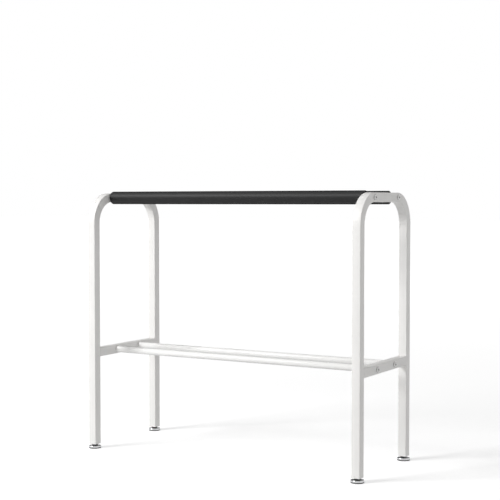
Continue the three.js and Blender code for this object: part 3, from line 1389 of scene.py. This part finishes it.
@dataclass
class LevellingFeet(SubAssembly):
    """The four feet: insert in the leg, threaded stem, chromed cap and pad."""

    sides: int = 96
    flange: float = 1.5 * MM
    rib_gap: float = 3.2 * MM
    rib_depth: float = 0.7 * MM
    body_skin: float = 1.5 * MM
    bore: float = 8.6 * MM
    pocket: float = 12.6 * MM
    pocket_length: float = 10 * MM
    cap_wall: float = 1.5 * MM
    cap_top_edge: float = 2.16 * MM
    cap_top_reach: float = 80.0
    cap_top_faces: int = 14
    cap_low_edge: float = 0.9 * MM
    cap_low_faces: int = 8
    cap_rise: float = 0.45 * MM
    cap_roll: float = 0.35 * MM
    cap_roll_faces: int = 4
    crown_share: float = 0.55
    crown_drop_share: float = 0.12
    stem_diameter: float = 8 * MM
    stem_pitch: float = 1.25 * MM
    stem_tip: float = 1 * MM
    neck_length: float = 2.5 * MM
    hex_across: float = 12 * MM
    hex_height: float = 2.5 * MM
    hex_chamfer: float = 30.0
    rivet_diameter: float = 11 * MM
    rivet_thickness: float = 1.2 * MM
    rivet_edge: float = 0.5 * MM
    thread_root_share: float = 0.8
    run_gap: float = 0.3 * MM
    small_edge: float = 0.25 * MM
    overrun: float = 1 * MM
    pad_edge: float = 0.4 * MM
    pad_edge_faces: int = 5
    groove_width: float = 0.9 * MM
    groove_depth: float = 0.3 * MM
    groove_count: int = 4
    groove_margin: float = 2 * MM

    def __post_init__(self) -> None:
        """Take the sizes from the front left foot, which stands for all four."""
        self.insert_place = Place.of("leg_insert_front_left")
        self.stem_place = Place.of("foot_stem_front_left")
        self.cap_place = Place.of("foot_cap_front_left")
        self.pad_place = Place.of("foot_pad_front_left")

    def build(self) -> None:
        """Build one of each piece and set its copies under the four legs."""
        masters = {
            "insert": (self.insert(), self.finishes.white_plastic, "leg_insert", "frame"),
            # The stems carry the near-black steel, which is partly painted shade for the gap under
            # the legs
            "stem": (self.stem(), self.finishes.black_steel, "foot_stem", "stem"),
            "cap": (self.cap(), self.finishes.chrome, "foot_cap", "glide"),
            "pad": (self.pad(), self.finishes.dark_plastic, "foot_pad", "glide"),
        }
        for row, end in product(Row, End):
            corner = f"{row.name}_{end.name}"
            middle = Place.of(f"foot_pad_{corner}").middle
            spot = Matrix.Translation((middle.x, middle.y, 0))
            for kind, (master, finish, node, body) in masters.items():
                rides = body if body == "frame" else f"{body}_{corner}"
                piece = copy_of(master, f"levelling_{kind}_{corner}", spot)
                self.fit(piece, finish, rides, f"{node}_{corner}")
            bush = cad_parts[f"foot_bush_{corner}"]
            self.finishes.put_on(bush, self.finishes.steel_round_z)
        for master, *_ in masters.values():
            bpy.data.objects.remove(master)

    def insert(self) -> bpy.types.Object:
        """Leg insert: a flange under the tube's end and a ribbed body inside it.

        Returns:
            The insert.
        """
        place = self.insert_place
        section = TubeSection(place.size.x, place.size.y)
        low, high = place.low.z, place.high.z
        obj = section.loop("insert", Matrix.Translation((0, 0, low)))
        body = tuple((size - 2 * self.body_skin) / size for size in (place.size.x, place.size.y, 1))
        with Bench(obj):
            bpy.ops.mesh.edge_face_add()
            self.step_up(self.flange)
            self.step_in(body)
            ribs = round((high - low - self.flange) / (2 * self.rib_gap))
            rise = (high - low - self.flange) / (2 * ribs)
            waist = 1 - 2 * self.rib_depth / place.size.x
            for _ in range(ribs):
                self.step_up(rise)
                self.step_in((waist, waist, 1))
                self.step_up(rise)
                self.step_in((1 / waist, 1 / waist, 1))
            bpy.ops.mesh.select_all(action="SELECT")
            bpy.ops.mesh.normals_make_consistent(inside=False)
        above = high + self.overrun
        drills = ((self.bore / 2, low - self.overrun), (self.pocket / 2, high - self.pocket_length))
        for radius, start in drills:
            profile = [(0, start), (radius, start), (radius, above), (0, above)]
            combine(obj, turned("drill", profile, self.sides), Join.cut)
        soften_edges(obj, self.small_edge)
        return obj

    def step_up(self, rise: float) -> None:
        """Draw the selected face up.

        Args:
            rise: How far.
        """
        bpy.ops.mesh.extrude_region_move(TRANSFORM_OT_translate={"value": (0, 0, rise)})

    def step_in(self, scale: Sequence[float]) -> None:
        """Make a ledge round the selected face and go on with its scaled copy.

        Args:
            scale: Scale of the copy along each axis.
        """
        bpy.ops.mesh.extrude_region_move(TRANSFORM_OT_translate={"value": (0, 0, 0)})
        bpy.ops.transform.resize(value=scale)

    def stem(self) -> bpy.types.Object:
        """Stem: riveted foot, plain neck, chamfered hexagon and thread.

        Returns:
            The stem.
        """
        shaft, past = self.stem_diameter / 2, self.overrun
        root, wide = self.thread_root_share * shaft, shaft + past / 2
        hex_low = self.cap_place.high.z + self.run_gap
        hex_high = hex_low + self.hex_height
        low, top = self.stem_place.low.z, self.stem_place.high.z
        rivet, edge = self.rivet_diameter / 2, self.rivet_edge
        neck = hex_high + self.neck_length
        profile = [
            (0, low),
            (rivet - edge, low),
            (rivet, low + edge),
            (rivet, low + self.rivet_thickness),
            (shaft, low + self.rivet_thickness),
            (shaft, neck - past),
            (root, neck),
            (0, neck),
        ]
        obj = turned("stem", profile, self.sides)
        combine(obj, self.nut(hex_low, hex_high), Join.add)
        rod = Thread(self.stem_diameter, self.stem_pitch).rod("rod", neck - 2 * past, top + past)
        profile = [
            (0, neck - past),
            (root, neck - past),
            (wide, neck + past / 2),
            (wide, top - self.stem_tip - past / 2),
            (shaft - self.stem_tip, top),
            (0, top),
        ]
        combine(rod, turned("blank", profile, self.sides), Join.meet)
        combine(obj, rod, Join.add)
        return obj

    def nut(self, low: float, high: float) -> bpy.types.Object:
        """Hexagon for a spanner, with its corners chamfered above and below.

        Args:
            low: Height of its lower face.
            high: Height of its upper face.

        Returns:
            The hexagon.
        """
        corner, flat = self.hex_across / math.sqrt(3), self.hex_across / 2
        drop = (corner - flat) * math.tan(math.radians(self.hex_chamfer))
        lower = [(0, low), (flat, low), (corner, low + drop)]
        upper = [(corner, high - drop), (flat, high), (0, high)]
        nut = hexagon("nut", self.hex_across, low, high)
        combine(nut, turned("crown", lower + upper, self.sides), Join.meet)
        return nut

    def cap(self) -> bpy.types.Object:
        """Chromed cap: a pressed shell with a bullnose rim, a low crown and a rolled hole.

        Returns:
            The cap.
        """
        low, top = self.cap_place.low.z, self.cap_place.high.z
        rim, hole, roll = self.cap_place.size.x / 2, self.bore / 2, self.cap_roll
        below, above = self.cap_low_edge, self.cap_top_edge
        shoulder, ceiling = top - self.cap_rise, top - self.cap_wall
        inside = rim - below - self.cap_wall
        drop = self.crown_drop_share * self.cap_rise
        bullnose = (rim - above, shoulder - above)
        profile = [
            (inside, low),
            *arc((rim - below, low + below), below, -90, 0, self.cap_low_faces),
            *arc(bullnose, above, 0, self.cap_top_reach, self.cap_top_faces),
            (self.crown_share * rim, top - drop),
            *arc((hole + roll, top - roll), roll, 90, 180, self.cap_roll_faces),
            (hole, ceiling),
            ((hole + inside) / 2, ceiling - drop),
            (inside, shoulder - self.cap_wall),
            (inside, low),
        ]
        return turned("cap", profile, self.sides)

    def pad(self) -> bpy.types.Object:
        """Pad: a flange with shallow rings on its underside and a boss inside the cap.

        Returns:
            The pad.
        """
        rim, top, edge = self.pad_place.size.x / 2, self.pad_place.high.z, self.small_edge
        flange, low_edge = self.cap_place.low.z, self.pad_edge
        boss = self.cap_place.size.x / 2 - self.cap_low_edge - self.cap_wall - self.run_gap
        ring = (rim - self.groove_margin) / (self.groove_count + 1)
        deep = self.groove_depth
        profile = [(0, 0)]
        for i in range(1, self.groove_count + 1):
            start, end = i * ring, i * ring + self.groove_width
            profile += [(start, 0), (start + deep, deep), (end - deep, deep), (end, 0)]
        profile += [
            (rim - low_edge, 0),
            *arc((rim - low_edge, low_edge), low_edge, -90, 0, self.pad_edge_faces)[1:],
            (rim, flange - edge),
            (rim - edge, flange),
            (boss, flange),
            (boss, top - edge),
            (boss - edge, top),
            (0, top),
        ]
        return turned("pad", profile, self.sides)


# Studio


@dataclass(frozen=True)
class Viewpoint:
    """Camera of the reference view, solved from the edges of the hoops; angles in degrees."""

    place: tuple[float, float, float] = (1.31427, -2.23213, 0.56451)
    yaw: float = 30.266
    pitch: float = 2.369
    lens: float = 83.74
    sensor: float = 36.0
    clip: Range = (0.01, 100.0)

    def make(self) -> None:
        """Add the camera and make it the scene's own."""
        data = bpy.data.cameras.new("camera")
        data.lens = self.lens
        data.sensor_width = self.sensor
        data.clip_start, data.clip_end = self.clip
        camera = bpy.data.objects.new("camera", data)
        camera.location = self.place
        camera.rotation_euler = (math.radians(90 - self.pitch), 0, math.radians(self.yaw))
        bpy.context.scene.collection.objects.link(camera)
        bpy.context.scene.camera = camera


@dataclass(frozen=True)
class Fixture:
    """Something that stands round the stand and points at it.

    Its azimuth runs from the front towards the right end, and both angles are in degrees.
    """

    name: str
    azimuth: float
    elevation: float
    distance: float

    def away(self) -> Vector:
        """Direction from the stand to the fixture.

        Returns:
            A unit vector.
        """
        turn, rise = math.radians(self.azimuth), math.radians(self.elevation)
        level = math.cos(rise)
        return Vector((math.sin(turn) * level, -math.cos(turn) * level, math.sin(rise)))

    def place(self) -> Vector:
        """Where the fixture stands."""
        return AIM + self.distance * self.away()

    def turn(self) -> Euler:
        """How it is turned to face the stand."""
        return self.away().to_track_quat("Z", "Y").to_euler()


@dataclass(frozen=True)
class Lamp(Fixture):
    """A soft square lamp."""

    size: float
    power: float

    def make(self) -> None:
        """Add the lamp."""
        data = bpy.data.lights.new(self.name, "AREA")
        data.shape = "SQUARE"
        data.size = self.size
        data.energy = self.power
        lamp = bpy.data.objects.new(self.name, data)
        lamp.location = self.place()
        lamp.rotation_euler = self.turn()
        bpy.context.scene.collection.objects.link(lamp)


@dataclass(frozen=True)
class Card(Fixture):
    """Dark card out of view, which only gloss and metal show, as a studio's thin dark lines."""

    width: float
    height: float
    colour: Rgba = (0.04, 0.04, 0.04, 1.0)

    def make(self) -> None:
        """Add the card."""
        card = primitive(
            bpy.ops.mesh.primitive_plane_add,
            self.name,
            size=1,
            location=self.place(),
            rotation=self.turn(),
        )
        card.scale = (self.width, self.height, 1)
        recipe = Recipe(self.name)
        recipe.set(Base_Color=self.colour, Roughness=1.0, Specular_IOR_Level=0.0)
        card.data.materials.append(recipe.material)
        card.visible_camera = False
        card.visible_diffuse = False
        card.visible_transmission = False
        card.visible_shadow = False


@dataclass(frozen=True)
class Studio:
    """White sweep, one soft lamp, and dark cards that give gloss and metal their dark lines.

    The levels are the light from the horizon and from overhead. The glow is the floor's own
    light for a ray that shows the background, near the stand and from the end of its reach on.
    """

    key: Lamp = Lamp("key", azimuth=-38, elevation=33, distance=5.0, size=1.8, power=182)
    levels: Range = (0.92, 0.12)
    floor_reach: float = 30.0
    floor_drop: float = 0.2 * MM
    floor_colour: Rgba = (0.7, 0.7, 0.7, 1.0)
    glow_reach: Range = (1.0, 5.0)
    glow: Range = (0.52, 0.8)
    cards: tuple[Card, ...] = (
        Card("front_card", azimuth=15, elevation=13, distance=4.2, width=12.0, height=1.8),
        Card("rear_card", azimuth=-150, elevation=30, distance=4.0, width=3.6, height=3.2),
    )

    def build(self) -> None:
        """Add the world, the floor, the cards and the lamp, and set the view."""
        self.world()
        self.floor()
        for card in self.cards:
            card.make()
        self.key.make()
        bpy.context.scene.view_settings.view_transform = "Standard"

    def world(self) -> None:
        """White surroundings, with plain light that is fuller from the sides than from above."""
        world = bpy.data.worlds.new("surroundings")
        bpy.context.scene.world = world
        world.use_nodes = True
        nodes = Nodes(world.node_tree)
        direction = nodes.add("ShaderNodeTexCoord", "Generated", {})
        height = nodes.add("ShaderNodeSeparateXYZ", "Z", {"Vector": direction})
        level = nodes.span(height, FULL_RANGE, self.levels)
        strength = nodes.span(nodes.background_ray(), FULL_RANGE, (level, 1.0))
        background = nodes.tree.nodes["Background"].inputs
        nodes.feed(background["Color"], WHITE)
        nodes.feed(background["Strength"], strength)

    def floor(self) -> None:
        """Pale floor that runs out into the white surroundings and keeps the shadow.

        In a pose the frame stays where it is and a foot reaches down, so the floor is in four
        parts, and each of them keeps with the foot that stands on it.
        """
        paper = self.floor_paper()
        for row, end in product(Row, End):
            name = f"floor_{row.name}_{end.name}"
            part = primitive(bpy.ops.mesh.primitive_plane_add, name, size=self.floor_reach)
            middle = Vector((end.value, row.value, 0)) * self.floor_reach / 2
            part.data.transform(Matrix.Translation(middle - Vector((0, 0, self.floor_drop))))
            part.data.materials.append(paper)
            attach(part, f"glide_{row.name}_{end.name}")

    def floor_paper(self) -> bpy.types.Material:
        """Pale paper on which shadows show, and that is clear from below.

        Returns:
            The material.
        """
        recipe = Recipe("floor_paper")
        reach = recipe.add(
            "ShaderNodeVectorMath", "Value", {0: recipe.coordinates}, operation="LENGTH"
        )
        glow = recipe.span(reach, self.glow_reach, self.glow)
        shown = {0: recipe.background_ray(), 1: glow}
        recipe.set(
            Base_Color=self.floor_colour,
            Roughness=1.0,
            Specular_IOR_Level=0.0,
            Emission_Color=WHITE,
            Emission_Strength=recipe.add("ShaderNodeMath", 0, shown, operation="MULTIPLY"),
        )
        sides = {
            "Fac": recipe.add("ShaderNodeNewGeometry", "Backfacing", {}),
            1: recipe.shader.outputs["BSDF"],
            2: recipe.add("ShaderNodeBsdfTransparent", "BSDF", {}),
        }
        surface = recipe.tree.nodes["Material Output"].inputs["Surface"]
        recipe.feed(surface, recipe.add("ShaderNodeMixShader", "Shader", sides))
        return recipe.material


def main() -> None:
    """Build the studio and the stand."""
    logging.basicConfig(level=logging.INFO, format="%(name)s: %(message)s")
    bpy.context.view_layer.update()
    Viewpoint().make()
    Studio().build()
    finishes = Finishes()
    for end in End:
        EndFrame(finishes, end).build()
    for row in Row:
        PaddedBar(finishes, row).build()
        LowerRail(finishes, row).build()
    Bolts(finishes).build()
    LevellingFeet(finishes).build()


if __name__ == "__main__":
    main()
